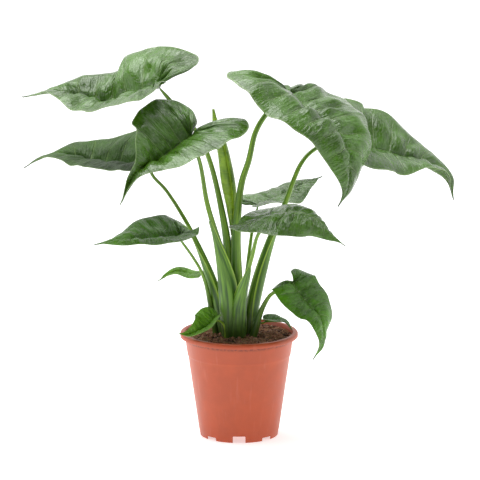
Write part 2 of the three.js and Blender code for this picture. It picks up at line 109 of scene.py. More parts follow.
BLADE_EDGE = 0.9
BLADE_RIB = 2.6
VEINS = 12
FAN_VEINS = 4
VEIN_ROOT_SPAN = 8.4
VEIN_SWEEP = 1.25
VEIN_HALF_WIDTH = 0.12  # share of the way from one vein to the next
VEIN_RELIEF = 0.45  # share of the midrib's
TIP_SPAN, TIP_SHARE = 2.2, 0.16  # veins over which the tip thins, depth left there
MARGIN_CROWDING = 0.92
SINUS_END = 0.18
MARGIN_WAVES = 21
FULL_RELIEF_WIDTH = 0.5  # share of the half width from which a blade has its whole relief
SWAY, SWAY_SIZE = 0.07, 31  # broad unevenness: share of the half width, size in mm
CREASES = 0.035  # share of the half width
CREASE_SCALE = (2.1, 2.6)  # along and across the blade
HALVES_APART = 9  # keeps the creases of the two halves different
STALK_TAPER = 1.3
SHEATH_START = 0.4
SHEATH_SPAN = 0.75
SHEATHED = 4  # swelling from which a stalk shows an open sheath
SHEATH_TURN = 115  # degrees that each wing goes round
SHEATH_LEAN = 6.0
SHEATH_FREE = 0.7  # share of a wing from which it stands off
SHEATH_GAP, SHEATH_FLARE = 0.5, 1.6
SHEATH_THICKNESS = 0.7
STALK_COLLAR = 0.45  # girth of a stalk's upper end, as a share
THIN_STALK = 1.7  # radius below which a stalk is pale
# Faces across and along each kind of net, and how close points merge, in metres.
BLADE_NET, TUBE_NET, SHEATH_NET = (44, 120), (24, 72), (28, 60)
ROLLED_NET, PEAT_NET = (60, 70), (150, 150)
BLADE_MERGE, TUBE_MERGE = 0.00002, 0.00001

# Outline of half a blade, as shares of its length, lobe and half width, from
# the stalk round the back lobe and along the margin to the tip.
HALF_OUTLINE = (
    (0, 0), (-0.38, 0.08), (-0.8, 0.19), (-1, 0.46), (-0.81, 0.79), (-0.18, 0.99), (0.16, 1),
    (0.34, 0.9), (0.52, 0.69), (0.7, 0.43), (0.84, 0.2), (0.92, 0.06), (1, 0),
)
FOLD_AT = (-1, 0, 0.34, 0.68, 1)
FOLD_SAMPLES, FOLD_EASING = 401, 20

# Each leaf as in the part: the way its upper side looks (and looks at the tip,
# where that differs), the width, lobe, swell and folds of its left and right
# half, its midrib, and its stalk from under the blade down into the peat.
LEAVES = (
    dict(
        name="top_right", face=(0.4, -0.3, 0.85), face_tip=(0.3, -0.8, 0.5),
        half=(94, 92), lobe=(36, 74), swell=(6, 12), wave=3, radius=(3.4, 8), sheath=2,
        fold_left=(-14, -6, -6, -30, -60), fold_right=(2, 10, 10, 12, 50),
        midrib=(
            (70, 20, 495), (95, -2, 481), (123, -26, 465), (146, -46, 444),
            (155, -60, 421), (154, -74, 379), (140, -80, 352),
        ),
        stalk=(
            (42, 16, 471), (24, 12, 443), (14, 8, 402), (3, 5, 366),
            (-4, 0, 286), (-3, 0, 213), (-2, 0, 128),
        ),
    ),
    dict(
        name="top_left", face=(0, -0.35, 0.94),
        half=(85, 83), lobe=(24, 54), swell=(5, 8), wave=4, radius=(2.6, 6.5), sheath=2,
        fold_left=(28, 18, 20, 22, 25), fold_right=(2, 14, 22, 10, -60),
        midrib=(
            (-114, -5, 511), (-148, 8, 498), (-181, 22, 484), (-212, 36, 483),
            (-239, 48, 487), (-270, 60, 491), (-313, 75, 481),
        ),
        stalk=(
            (-90, 8, 479), (-59, 14, 439), (-42, 16, 399), (-25, 12, 328),
            (-16, 8, 271), (-12, 5, 198), (-11, 5, 128),
        ),
    ),
    dict(
        name="front_right", face=(0, -0.3, 0.95),
        half=(58, 54), lobe=(72, 48), swell=(4, 4), wave=3, radius=(2.2, 6), sheath=5,
        fold_left=(15, -4, -28, -52, -70), fold_right=(35, 8, -24, -40, -30),
        midrib=(
            (42, -75, 335), (51, -82, 341), (69, -97, 349), (86, -108, 351),
            (111, -124, 343), (132, -134, 324), (150, -140, 309),
        ),
        stalk=(
            (27, -62, 308), (19, -50, 276), (11, -38, 244), (1, -23, 199),
            (-2, -13, 128),
        ),
    ),
    dict(
        name="far_right", face=(-0.1, -0.4, 0.85), face_tip=(0.1, -0.4, 0.85),
        half=(78, 74), lobe=(34, 36), swell=(5, 5), wave=4, radius=(2.6, 6.5), sheath=4,
        fold_left=(10, 14, 20, 10, -10), fold_right=(5, 10, 5, 38, 60),
        midrib=(
            (154, 50, 427), (184, 62, 409), (207, 72, 403), (246, 88, 386), (278, 98, 371),
            (302, 102, 353), (312, 100, 323),
        ),
        stalk=(
            (128, 60, 417), (105, 56, 405), (89, 44, 389), (66, 28, 334),
            (45, 20, 282), (24, 12, 210), (9, 5, 128),
        ),
    ),
    dict(
        name="front_left", face=(-0.1, -0.85, 0.5),
        half=(78, 75), lobe=(70, 30), swell=(8, 6), wave=3, radius=(2.6, 6.5), sheath=8,
        fold_left=(30, 45, 38, 64, 80), fold_right=(0, 0, 15, 75, 85),
        midrib=(
            (-68, -50, 448), (-83, -62, 440), (-101, -80, 430), (-113, -93, 422),
            (-128, -105, 413), (-151, -120, 394), (-168, -130, 365),
        ),
        stalk=(
            (-56, -40, 409), (-46, -30, 349), (-33, -22, 299),
            (-18, -14, 230), (-11, -9, 128),
        ),
    ),
    dict(
        name="back_right", face=(-0.1, -0.3, 0.9),
        half=(48, 48), lobe=(26, 26), swell=(3, 3), wave=3, radius=(2, 5), sheath=1,
        fold_left=(30, -8, -10, -5, -20), fold_right=(35, 18, 6, 0, 0),
        midrib=(
            (27, 64, 324), (59, 98, 331), (93, 130, 341), (122, 154, 348),
        ),
        stalk=(
            (19, 52, 289), (12, 34, 235), (6, 18, 179), (4, 13, 128),
        ),
    ),
    dict(
        name="far_left", face=(0, -0.3, 0.95),
        half=(66, 72), lobe=(40, 40), swell=(4, 4), wave=3, radius=(2.2, 5), sheath=4.5,
        fold_left=(10, 15, 22, 22, 10), fold_right=(20, 22, 21, 6, -60),
        midrib=(
            (-132, 30, 395), (-149, 42, 389), (-191, 70, 383), (-233, 96, 386),
            (-262, 110, 388), (-289, 120, 383), (-314, 124, 366),
        ),
        stalk=(
            (-124, 32, 374), (-105, 30, 353), (-71, 22, 299),
            (-47, 14, 246), (-27, 6, 182), (-17, 3, 128),
        ),
    ),
    dict(
        name="low_right", face=(0.2, -0.9, 0.5),
        half=(40, 38), lobe=(22, 10), swell=(3, 3), wave=2, radius=(2, 5.5), sheath=1,
        fold_left=(-40, -15, -20, -60, -70), fold_right=(-30, 20, 25, 40, 80),
        midrib=(
            (77, -45, 234), (86, -54, 220), (101, -66, 205), (114, -76, 193),
            (119, -83, 179), (118, -88, 154), (105, -88, 130),
        ),
        stalk=(
            (64, -36, 231), (54, -30, 219), (44, -24, 210), (31, -15, 184),
            (26, -12, 167), (15, -9, 128),
        ),
    ),
    dict(
        name="low_left", face=(0, -0.3, 0.95),
        half=(50, 54), lobe=(12, 28), swell=(3, 3), wave=2, radius=(1.8, 4), sheath=1,
        fold_left=(50, 32, 20, 5, 15), fold_right=(0, 14, 5, -16, -20),
        midrib=(
            (-84, -25, 295), (-106, -38, 297), (-141, -58, 301), (-172, -74, 303),
            (-206, -85, 299),
        ),
        stalk=(
            (-70, -18, 271), (-56, -10, 246), (-49, -5, 227),
            (-44, 0, 205), (-40, 5, 182), (-30, 9, 128),
        ),
    ),
    dict(
        name="small_left", face=(0, -0.5, 0.8),
        half=(14, 14), lobe=(3, 3), swell=(1, 1), wave=1, radius=(1.4, 2.4), sheath=0,
        fold_left=(15, 15, 12, 28, 15), fold_right=(-30, -30, -20, 40, 5),
        midrib=(
            (-52, 50, 227), (-68, 60, 223), (-89, 72, 223), (-106, 80, 216),
            (-118, 84, 207),
        ),
        stalk=(
            (-46, 40, 214), (-41, 30, 193), (-33, 20, 162), (-28, 17, 128),
        ),
    ),
    dict(
        name="rim_left", face=(-0.1, -0.8, 0.5),
        half=(24, 28), lobe=(6, 14), swell=(2, 2), wave=1, radius=(1.5, 2.2), sheath=0,
        fold_left=(70, 70, 70, 55, 30), fold_right=(0, 0, 12, 10, 10),
        midrib=(
            (-34, -26, 174), (-47, -38, 164), (-60, -46, 160), (-73, -50, 159),
            (-86, -50, 161),
        ),
        stalk=(
            (-29, -24, 173), (-23, -21, 168), (-20, -19, 159),
            (-20, -17, 128),
        ),
    ),
    dict(
        name="rim_right", face=(0, -0.5, 0.8), face_tip=(0.3, -0.5, 0.6),
        half=(16, 16), lobe=(6, 4), swell=(1, 1), wave=1, radius=(1.2, 2), sheath=0,
        fold_left=(8, -6, -15, -32, -50), fold_right=(60, 48, 45, 40, 30),
        midrib=(
            (39, -2, 168), (53, -5, 169), (66, -8, 169), (73, -10, 163), (77, -12, 157),
        ),
        stalk=(
            (27, 4, 160), (22, 7, 149), (20, 8, 128),
        ),
    ),
)

# The youngest leaf, rolled up round its axis.
ROLLED_AXIS = (
    (-9, 12, 291), (-12, 16, 334), (-17, 18, 371), (-24, 18, 415), (-34, 16, 454), (-37, 14, 475),
)
ROLLED_GIRTH = (3.4, 8, 11.5, 10, 7.5, 2)
ROLLED_START, ROLLED_TURN = -66, 400  # degrees
ROLLED_NARROWING = 0.30  # how much closer to the axis the inner end lies
ROLLED_STALK = ((-9, 12, 293), (-6, 9, 230), (-5, 8, 128))
ROLLED_STALK_RADIUS = (3, 4.5)

# The camera and where it and the lights look, in degrees and metres.
CAMERA_TILT = 12.6
CAMERA_DISTANCE = 7.5
HALF_VIEW = 0.3444
VIEW_MIDDLE = (AXIS_X + 0.0013, AXIS_Y, 0.2865)
LIGHTS_AIM = (0, 0, 0.3)


def srgb(*seen):
    """A colour as Blender keeps it, from the values seen on a screen."""
    return tuple(((c + 0.055) / 1.055) ** 2.4 if c > 0.04 else c / 12.92 for c in seen)


def scaled(colour, shares):
    return tuple(c * share for c, share in zip(colour, shares))


# Curves.
def catmull(p0, p1, p2, p3, t):
    a, b = (p2 - p0) / 2, (p3 - p1) / 2
    return (2 * p1 - 2 * p2 + a + b) * t**3 + (3 * p2 - 3 * p1 - 2 * a - b) * t**2 + a * t + p1


def spline(points, at):
    """A uniform smooth curve through the points, read at shares from 0 to 1."""
    points = np.array(points, float)
    last = len(points) - 1
    at = np.clip(np.asarray(at, float), 0, 1) * last
    i = np.minimum(at.astype(int), last - 1)
    share = (at - i)[..., None]
    before, after = np.maximum(i - 1, 0), np.minimum(i + 2, last)
    return catmull(points[before], points[i], points[i + 1], points[after], share)


class Line:
    """A smooth line through points in mm, read by shares of its length."""

    SAMPLES = 40

    def __init__(self, points):
        p = [np.array(q, float) for q in points]
        p = [2 * p[0] - p[1], *p, 2 * p[-1] - p[-2]]
        out = []
        for k in range(1, len(p) - 2):
            out.extend(self.stretch(*p[k - 1 : k + 3], n) for n in range(self.SAMPLES))
        self.points = np.array([*out, p[-2]])
        steps = np.linalg.norm(np.diff(self.points, axis=0), axis=1)
        self.along = np.concatenate([[0], np.cumsum(steps)])
        self.length = self.along[-1]

    def stretch(self, p0, p1, p2, p3, n):
        d0, d1, d2 = (np.linalg.norm(b - a) ** 0.5 for a, b in ((p0, p1), (p1, p2), (p2, p3)))
        m1 = ((p1 - p0) / d0 - (p2 - p0) / (d0 + d1) + (p2 - p1) / d1) * d1
        m2 = ((p2 - p1) / d1 - (p3 - p1) / (d1 + d2) + (p3 - p2) / d2) * d1
        t = n / self.SAMPLES
        cubic = 2 * p1 - 2 * p2 + m1 + m2
        square = -3 * p1 + 3 * p2 - 2 * m1 - m2
        return cubic * t**3 + square * t**2 + m1 * t + p1

    def at(self, share):
        reach = np.clip(share, 0, 1) * self.length
        return np.stack([np.interp(reach, self.along, self.points[:, k]) for k in range(3)], -1)

    def tangent(self, share):
        share = np.clip(share, 0.01, 0.99)
        return unit(self.at(share + 0.01) - self.at(share - 0.01))


def unit(v):
    return v / np.maximum(np.linalg.norm(v, axis=-1, keepdims=True), 1e-9)


# Working with objects.
def deselect():
    bpy.ops.object.select_all(action="DESELECT")


def pick(*pieces):
    deselect()
    for piece in pieces:
        piece.select_set(True)
    bpy.context.view_layer.objects.active = pieces[0]


@contextmanager
def editing(piece, mode="VERT"):
    pick(piece)
    bpy.ops.object.mode_set(mode="EDIT")
    bpy.ops.mesh.select_mode(type=mode)
    bpy.ops.mesh.select_all(action="SELECT")
    yield
    bpy.ops.object.mode_set(mode="OBJECT")


def named(name):
    piece = bpy.context.object
    piece.name = name
    piece.data.name = name
    return piece


def settle(piece):
    pick(piece)
    bpy.ops.object.transform_apply(location=True, rotation=True, scale=True)


def modify(piece, kind, **settings):
    pick(piece)
    modifier = piece.modifiers.new(kind.lower(), kind)
    for key, value in settings.items():
        setattr(modifier, key, value)
    bpy.ops.object.modifier_apply(modifier=modifier.name)


def smooth(piece, degrees):
    pick(piece)
    bpy.ops.object.shade_smooth_by_angle(angle=math.radians(degrees))


def face_outward():
    """In edit mode: all faces look outward."""
    bpy.ops.mesh.select_all(action="SELECT")
    bpy.ops.mesh.normals_make_consistent(inside=False)


def extrude_up(height):
    bpy.ops.mesh.extrude_region_move(TRANSFORM_OT_translate={"value": (0, 0, height)})


def widen(share, z):
    """Scales what is selected about the pot's axis."""
    bpy.ops.transform.resize(value=(share, share, 1), center_override=(AXIS_X, AXIS_Y, z))


def places(piece):
    co = np.empty(len(piece.data.vertices) * 3)
    piece.data.vertices.foreach_get("co", co)
    return co.reshape(-1, 3)


def move_to(piece, co):
    """Gives every vertex its place, never outside the part's box."""
    low, high = np.array(CAD_BOX[0]) + INSIDE, np.array(CAD_BOX[1]) - INSIDE
    piece.data.vertices.foreach_set("co", np.clip(co, low, high).ravel())
    piece.data.update()


def from_axis(co):
    """Metres in the part's frame, from millimetres from the pot's axis."""
    return co * MM + np.array([AXIS_X, AXIS_Y, 0])


def net(name, across, along):
    """A fine grid with a UV map, and for each vertex where it lies in it: from
    -1 to 1 across and from 0 to 1 along."""
    deselect()
    bpy.ops.mesh.primitive_grid_add(x_subdivisions=across, y_subdivisions=along, size=2)
    piece = named(name)
    co = places(piece)
    return piece, co[:, 0].copy(), (co[:, 1].copy() + 1) / 2


def dress(piece, *materials):
    piece.data.materials.clear()
    for material in materials:
        piece.data.materials.append(material)


def hand_over(piece, slot, materials, *nodes):
    """The finished piece rides on the plant and stands for its nodes."""
    dress(piece, *materials)
    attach(piece, "root")
    for node in nodes:
        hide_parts(node)


# Building materials.
BLACK, WHITE = (0.0, 0.0, 0.0), (1.0, 1.0, 1.0)


class Shader:
    """Places nodes in a tree, with inputs given as values or as outputs."""

    def __init__(self, tree):
        self.tree = tree

    def add(self, kind, inputs=None, **settings):
        made = self.tree.nodes.new(kind)
        for key, value in settings.items():
            setattr(made, key, value)
        for key, value in (inputs or {}).items():
            socket = made.inputs[key]
            if isinstance(value, bpy.types.NodeSocket):
                self.send(value, socket)
            elif isinstance(value, tuple) and len(value) == 3 and socket.type == "RGBA":
                socket.default_value = (*value, 1)
            else:
                socket.default_value = value
        return made

    def math(self, operation, a, b=0.0, clamp=False):
        made = self.add("ShaderNodeMath", {0: a, 1: b}, operation=operation, use_clamp=clamp)
        return made.outputs[0]

    def times(self, a, b):
        return self.math("MULTIPLY", a, b)

    def plus(self, a, b):
        return self.math("ADD", a, b)

    def minus(self, a, b, clamp=False):
        return self.math("SUBTRACT", a, b, clamp)

    def send(self, value, socket):
        self.tree.links.new(value, socket)

    def coordinates(self):
        return self.add("ShaderNodeTexCoord").outputs

    def parts(self, vector):
        return self.add("ShaderNodeSeparateXYZ", {0: vector}).outputs

    def from_middle(self, u):
        """How far a UV coordinate lies from the middle, 1 at either side."""
        return self.math("ABSOLUTE", self.times(self.minus(u, 0.5), 2.0))

    def mix(self, factor, a, b):
        made = self.add("ShaderNodeMix", {0: factor, 6: a, 7: b}, data_type="RGBA")
        return made.outputs[2]

    def fade(self, value, low, high, start=0.0, end=1.0):
        made = self.add(
            "ShaderNodeMapRange",
            {"Value": value, "From Min": low, "From Max": high, "To Min": start, "To Max": end},
            interpolation_type="SMOOTHSTEP",
        )
        return made.outputs[0]

    def noise(self, vector, scale, detail=3.0, roughness=0.55):
        inputs = {"Vector": vector, "Scale": scale, "Detail": detail, "Roughness": roughness}
        return self.add("ShaderNodeTexNoise", inputs).outputs["Fac"]

    def stretched(self, vector, scale):
        return self.add("ShaderNodeMapping", {"Vector": vector, "Scale": scale}).outputs[0]

    def group(self, name, inputs):
        return self.add("ShaderNodeGroup", inputs, node_tree=bpy.data.node_groups[name]).outputs

    def mottled(self, vector, dark, light, broad, fine):
        inputs = {"Vector": vector, "Dark": dark, "Light": light, "Broad": broad, "Fine": fine}
        return self.group("mottle", inputs)


def new_group(name, inputs, outputs):
    tree = bpy.data.node_groups.new(name, "ShaderNodeTree")
    for label, kind in inputs.items():
        tree.interface.new_socket(name=label, in_out="INPUT", socket_type=kind)
    for label, kind in outputs.items():
        tree.interface.new_socket(name=label, in_out="OUTPUT", socket_type=kind)
    shader = Shader(tree)
    return shader, shader.add("NodeGroupInput").outputs, shader.add("NodeGroupOutput").inputs


def new_material(name):
    material = bpy.data.materials.new(name)
    material.use_nodes = True
    material.node_tree.nodes.clear()
    return material, Shader(material.node_tree)


def close_material(shader, tone, roughness, specular, bump=None, **more):
    """Ends a material in a Principled BSDF. bump gives a height, its distance
    and its strength; more gives further sockets, with _ for each space."""
    sockets = {"Base Color": tone, "Roughness": roughness, "Specular IOR Level": specular}
    sockets.update({key.replace("_", " "): value for key, value in more.items()})
    if bump:
        inputs = dict(zip(("Height", "Distance", "Strength"), bump))
        sockets["Normal"] = shader.add("ShaderNodeBump", inputs).outputs[0]
    bsdf = shader.add("ShaderNodeBsdfPrincipled", sockets)
    shader.add("ShaderNodeOutputMaterial", {"Surface": bsdf.outputs[0]})


def make_groups():
    """The effects that several materials share."""
    value, colour, vector = "NodeSocketFloat", "NodeSocketColor", "NodeSocketVector"
    # Mottled colour: two noises, a broad and a fine one, between two colours.
    shader, given, out = new_group(
        "mottle",
        {"Vector": vector, "Dark": colour, "Light": colour, "Broad": value, "Fine": value},
        {"Color": colour, "Mask": value},
    )
    broad = shader.noise(given["Vector"], given["Broad"], 3)
    fine = shader.noise(given["Vector"], given["Fine"], 4)
    both = shader.plus(shader.times(broad, 0.65), shader.times(fine, 0.35))
    mask = shader.fade(both, 0.36, 0.64)
    shader.send(mask, out["Mask"])
    shader.send(shader.mix(mask, given["Dark"], given["Light"]), out["Color"])

    # The lines of a blade, from its UV map: midrib, side veins and net.
    shader, given, out = new_group(
        "blade_lines",
        {"UV": vector, "Place": vector},
        {"Ribs": value, "Net": value, "Wrinkles": value, "Margin": value},
    )
    wobble = shader.noise(given["Place"], 60.0, 2)
    parts = shader.parts(given["UV"])
    side = shader.from_middle(parts[0])
    row = shader.times(parts[1], float(VEINS))
    row = shader.plus(row, shader.times(shader.minus(wobble, 0.5), 0.16))
    away = shader.math("ABSOLUTE", shader.minus(shader.math("FRACT", shader.plus(row, 0.5)), 0.5))
    width = shader.fade(side, 0.0, 1.0, 0.065, 0.022)
    rib = shader.minus(1.0, shader.math("DIVIDE", away, width), clamp=True)
    rib = shader.times(rib, shader.fade(side, 1.0, 0.72, 0.0, 1.0))
    midrib = shader.fade(side, 0.03, 0.01)
    shader.send(shader.math("MAXIMUM", rib, midrib), out["Ribs"])
    thin = shader.times(row, 5.0)
    thin = shader.plus(thin, shader.times(shader.minus(wobble, 0.5), 1.5))
    thin = shader.math("ABSOLUTE", shader.minus(shader.math("FRACT", thin), 0.5))
    inputs = {"Vector": given["Place"], "Scale": 170.0}
    cells = shader.add("ShaderNodeTexVoronoi", inputs, feature="DISTANCE_TO_EDGE")
    cells = cells.outputs["Distance"]
    lines = shader.math("MAXIMUM", shader.fade(thin, 0.16, 0.0), shader.fade(cells, 0.08, 0.0))
    shader.send(lines, out["Net"])
    # Wrinkles that run with the veins and differ from half to half.
    half = shader.math("SIGN", shader.minus(parts[0], 0.5))
    flow = shader.add("ShaderNodeCombineXYZ", {0: side, 1: row, 2: half}).outputs[0]
    coarse = shader.noise(shader.stretched(flow, (1.4, 2.0, 3.0)), 1.0, 2)
    narrow = shader.noise(shader.stretched(flow, (2.6, 6.5, 3.0)), 1.0, 2)
    shader.send(shader.plus(shader.times(coarse, 0.6), shader.times(narrow, 0.4)), out["Wrinkles"])
    shader.send(shader.fade(side, 0.965, 0.995), out["Margin"])

    # Lengthwise fibres on stalks, from a UV map with its length along V.
    shader, given, out = new_group(
        "fibres",
        {"UV": vector, "Dark": colour, "Light": colour},
        {"Color": colour, "Height": value},
    )
    fine = shader.noise(shader.stretched(given["UV"], (26.0, 2.0, 1.0)), 3.0, 3)
    broad = shader.noise(shader.stretched(given["UV"], (5.0, 1.6, 1.0)), 1.6, 2)
    tone = shader.mix(shader.fade(broad, 0.35, 0.65), given["Dark"], given["Light"])
    shader.send(tone, out["Color"])
    shader.send(fine, out["Height"])


def upper_side(name, colour, light, rib, roughness, relief, gloss=0.55):
    """The glossy upper side of a blade."""
    material, shader = new_material(name)
    where = shader.coordinates()
    lines = shader.group("blade_lines", {"UV": where["UV"], "Place": where["Object"]})
    mottled = shader.mottled(where["Object"], colour, light, 16.0, 90.0)
    tone = mottled["Color"]
    for line, share in (("Net", 0.06), ("Ribs", 0.45), ("Margin", 0.4)):
        tone = shader.mix(shader.times(lines[line], share), tone, rib)
    grain = shader.noise(where["Object"], 900.0, 2)
    height = shader.plus(shader.times(lines["Net"], -0.10), shader.times(grain, 0.03))
    for line, share in (("Ribs", -0.45), ("Wrinkles", 2.3)):
        height = shader.plus(height, shader.times(lines[line], share))
    rough = shader.plus(roughness, shader.times(mottled["Mask"], 0.08))
    close_material(
        shader, tone, rough, gloss, (height, 0.003, relief),
        Coat_Weight=max(0.0, gloss - 0.35), Coat_Roughness=0.08,
    )
    return material


def lower_side(name, colour, light, rib):
    """The paler, duller underside of a blade."""
    material, shader = new_material(name)
    where = shader.coordinates()
    lines = shader.group("blade_lines", {"UV": where["UV"], "Place": where["Object"]})
    tone = shader.mottled(where["Object"], colour, light, 20.0, 120.0)["Color"]
    for line, share in (("Ribs", 0.6), ("Net", 0.2)):
        tone = shader.mix(shader.times(lines[line], share), tone, rib)
    height = shader.plus(shader.times(lines["Net"], 0.5), lines["Ribs"])
    close_material(shader, tone, 0.5, 0.4, (height, 0.0005, 0.5))
    return material


def stalk_skin(name, dark, light, roughness, shade):
    """Green along fibres, by a share of shade darker towards the peat."""
    material, shader = new_material(name)
    where = shader.coordinates()
    fibre = shader.group("fibres", {"UV": where["UV"], "Dark": dark, "Light": light})
    mottled = shader.mottled(where["Object"], BLACK, WHITE, 30.0, 200.0)
    tone = shader.mix(shader.times(mottled["Mask"], 0.25), fibre["Color"], dark)
    # Painted shade: the stalk darkens towards the peat, by the share given as shade.
    up = shader.parts(where["Object"])[2]
    foot = shader.fade(up, 0.235, 0.15)
    tone = shader.mix(shader.times(foot, shade), tone, srgb(0.20, 0.31, 0.12))
    close_material(shader, tone, roughness, 0.5, (fibre["Height"], 0.0004, 0.35))
    return material


# The blades.
def folds_along(folds, place):
    """The fold at each place, with the corners between the given ones eased."""
    fine = np.linspace(-1, 1, FOLD_SAMPLES)
    given = np.pad(np.interp(fine, FOLD_AT, folds), FOLD_EASING, mode="edge")
    window = np.hanning(2 * FOLD_EASING + 1)
    eased = np.convolve(given, window / window.sum(), mode="valid")
    return np.radians(np.interp(place, fine, eased))


def blade_places(leaf, side, row, quilt):
    """Where each vertex of the net lies. side runs from -1 at the left margin to
    1 at the right one, row counts the veins from 0 at the notch to the tip."""
    midrib = Line(leaf["midrib"])
    half = (side > 0).astype(int)
    v = np.abs(side)
    lobe, width = np.array(leaf["lobe"])[half], np.array(leaf["half"])[half]
    t = SINUS_END + (1 - SINUS_END) * (row / VEINS) ** MARGIN_CROWDING
    root = np.clip((row - FAN_VEINS + 1) / VEIN_ROOT_SPAN, 0, 1)

    def outline(share):
        p = spline(HALF_OUTLINE, share)
        x = np.where(p[..., 0] < 0, p[..., 0] * lobe, p[..., 0] * midrib.length)
        return x, np.maximum(0, p[..., 1]) * width

    end_x, end_y = outline(t)
    notch_x, notch_y = outline(t * v)
    near = np.clip(1 - row, 0, 1)
    sweep = v**VEIN_SWEEP
    x = (1 - near) * (root * midrib.length * (1 - sweep) + end_x * sweep) + near * notch_x
    y = (1 - near) * end_y * v + near * notch_y
    share = np.clip(x / midrib.length, 0, 1)
    along = midrib.tangent(share)
    looks = np.outer(1 - share, leaf["face"]) + np.outer(share, leaf.get("face_tip", leaf["face"]))
    left = unit(np.cross(looks, along))
    up = np.cross(along, left)
    foot = midrib.at(share) + along * np.minimum(x, 0)[:, None]
    place = np.where(x < 0, x / lobe, share)
    folds = [folds_along(leaf[key], place) for key in ("fold_left", "fold_right")]
    fold = np.where(half == 0, *folds)
    outward = left * np.where(half == 0, 1, -1)[:, None]
    broad = np.clip(end_y / width / FULL_RELIEF_WIDTH, 0, 1)
    rise = np.array(leaf["swell"])[half] * broad * 4 * v * (1 - v)
    rise = rise + leaf["wave"] * broad * v**2 * np.sin(t * MARGIN_WAVES + half + leaf["half"][0])
    rise = rise + quilt * width * broad * quilting(row, v)
    flat = foot + outward * y[:, None]
    sway = np.array([noise.noise(Vector(p) / SWAY_SIZE) for p in flat])
    sway = SWAY * sway * np.clip(v * 3, 0, 1)
    down, over = row * CREASE_SCALE[0] + half * HALVES_APART, v * CREASE_SCALE[1]
    creases = np.array([noise.noise(Vector((d, o, width[0]))) for d, o in zip(down, over)])
    creased = CREASES * CRUMPLED.get(leaf["name"], 1)
    creases = creased * creases * np.clip(v * 8, 0, 1) * (1 - v**4)
    rise = rise + width * broad * (sway + creases)
    return foot + outward * (y * np.cos(fold) - rise * np.sin(fold))[:, None] + up * (
        y * np.sin(fold) + rise * np.cos(fold)
    )[:, None]


# How much more creased than the rest some leaves are.
CRUMPLED = {"front_right": 2.4, "top_left": 1.5, "top_right": 1.4, "back_right": 1.6}


def quilting(row, v):
    """The blade bulges between its veins and is creased along them."""
    between = np.abs(np.sin(math.pi * row)) ** 0.7
    return between * np.clip(v * 6, 0, 1) * (1 - v**3)


def blade_depth(row, v):
    """Thickness in mm: the margin is thin, and ribs stand out underneath."""
    off_vein = np.abs((row + 0.5) % 1 - 0.5)
    rib = np.exp(-((off_vein / VEIN_HALF_WIDTH) ** 2)) * (1 - v) * (v > 0.02)
    depth = BLADE_EDGE + (BLADE_RIB - BLADE_EDGE) * np.maximum((1 - v) ** 3, VEIN_RELIEF * rib)
    return depth * np.clip((VEINS - row) / TIP_SPAN + TIP_SHARE, 0, 1)


def make_blade(leaf, quilt):
    piece, side, along = net("blade_" + leaf["name"], *BLADE_NET)
    row = along * VEINS
    group = piece.vertex_groups.new(name="depth")
    share = blade_depth(row, np.abs(side)) / BLADE_RIB
    for i, weight in enumerate(share):
        group.add([i], float(weight), "REPLACE")
    move_to(piece, from_axis(blade_places(leaf, side, row, quilt)))
    with editing(piece):
        bpy.ops.mesh.remove_doubles(threshold=BLADE_MERGE)
    modify(
        piece, "SOLIDIFY", thickness=BLADE_RIB * MM, offset=-1, vertex_group="depth",
        use_rim=True, material_offset=1, material_offset_rim=1,
    )
    piece.vertex_groups.clear()
    move_to(piece, places(piece))
    smooth(piece, 60)
    return piece


# How the green of some leaves departs from the rest, as shares of its red,
# green and blue: the low, younger ones are fresher, the far one is darker.
FRESH, YOUNG = (1.35, 1.45, 1.0), (2.6, 2.3, 2.6)
DEEP, PLAIN = (0.62, 0.66, 0.62), (1.0, 1.0, 1.0)
GREENS = {
    "low_left": FRESH, "low_right": FRESH, "rim_left": YOUNG, "rim_right": FRESH,
    "small_left": YOUNG, "far_left": DEEP,
}
# Roughness and gloss of the greens that shine less than the rest.
FINISHES = {DEEP: (0.42, 0.25), FRESH: (0.24, 0.4), YOUNG: (0.3, 0.35)}


# Stalks.
def stalk_radius(radius, sheath, u):
    wrap = np.sin(math.pi * np.maximum(0, (u - SHEATH_START) / SHEATH_SPAN)) ** 2
    return radius[0] + (radius[1] - radius[0]) * u**STALK_TAPER + sheath * wrap


def make_tube(name, points, radius, sheath):
    """A round tube along a line, its section turned evenly from ring to ring."""
    line = Line(points)
    piece, turn, u = net(name, *TUBE_NET)
    shares = np.linspace(0, 1, TUBE_NET[1] + 1)
    tangents = line.tangent(shares)
    normals = [unit(np.cross(tangents[0], [0.0, 1.0, 0.2]))]
    for tangent in tangents[1:]:
        normals.append(unit(normals[-1] - tangent * normals[-1].dot(tangent)))
    normals = np.array(normals)
    ring = np.rint(u * TUBE_NET[1]).astype(int)
    angle = turn * math.pi
    ways = normals[ring] * np.cos(angle)[:, None]
    ways = ways + np.cross(tangents, normals)[ring] * np.sin(angle)[:, None]
    girth = stalk_radius(radius, sheath, u)
    girth = girth * np.clip(STALK_COLLAR + u * 16, 0, 1)
    move_to(piece, from_axis(line.at(u) + ways * girth[:, None]))
    with editing(piece):
        bpy.ops.mesh.remove_doubles(threshold=TUBE_MERGE)
        bpy.ops.mesh.fill_holes(sides=0)
        bpy.ops.mesh.normals_make_consistent(inside=False)
    smooth(piece, 50)
    return piece


